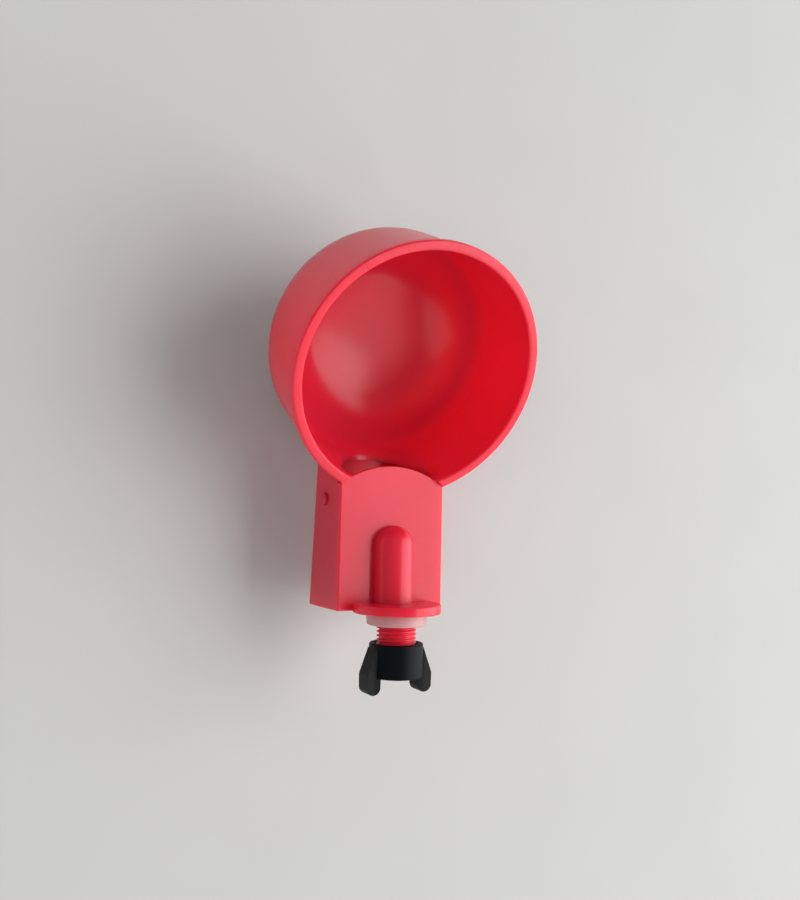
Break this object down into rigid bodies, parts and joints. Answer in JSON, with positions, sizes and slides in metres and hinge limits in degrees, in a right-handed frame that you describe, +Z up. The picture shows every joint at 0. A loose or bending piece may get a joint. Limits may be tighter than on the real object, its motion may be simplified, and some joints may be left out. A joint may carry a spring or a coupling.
{
  "type": "poultry drinking cup",
  "caption": "Round tilted drinking cup with a float valve chamber behind it, and a threaded inlet stem with a sealing washer and a wing nut.",
  "frame": {"origin": "the stem's axis where it meets the rear face of the flange", "axes": "+Y along the stem into the bucket or pipe, +Z up and square to the chamber's roof, +X to the side"},
  "size_m": [0.0874, 0.1553, 0.0756],
  "materials": {
    "red_plastic": "gloss",
    "silicone": "satin",
    "black_plastic": "satin",
    "float_plastic": "satin",
    "valve_rubber": "matt"
  },
  "bodies": {
    "cup": {"cup_body": "red_plastic", "chamber_cover": "red_plastic", "sealing_washer": "silicone", "pivot_pin": "red_plastic"},
    "float": {"float_shell": "float_plastic", "float_lid": "float_plastic", "valve_pad": "valve_rubber"},
    "nut": {"wing_nut": "black_plastic"}
  },
  "joints": [
    {"name": "float_hinge", "type": "hinge", "parent": "cup", "child": "float", "pos_m": [0, -0.037, -0.0169], "axis": [1, 0, 0], "range_deg": [0, 6.49]},
    {"name": "nut_travel", "type": "slide", "parent": "cup", "child": "nut", "axis": [0, 1, 0], "range_m": [-0.00535, 0.01069]}
  ]
}
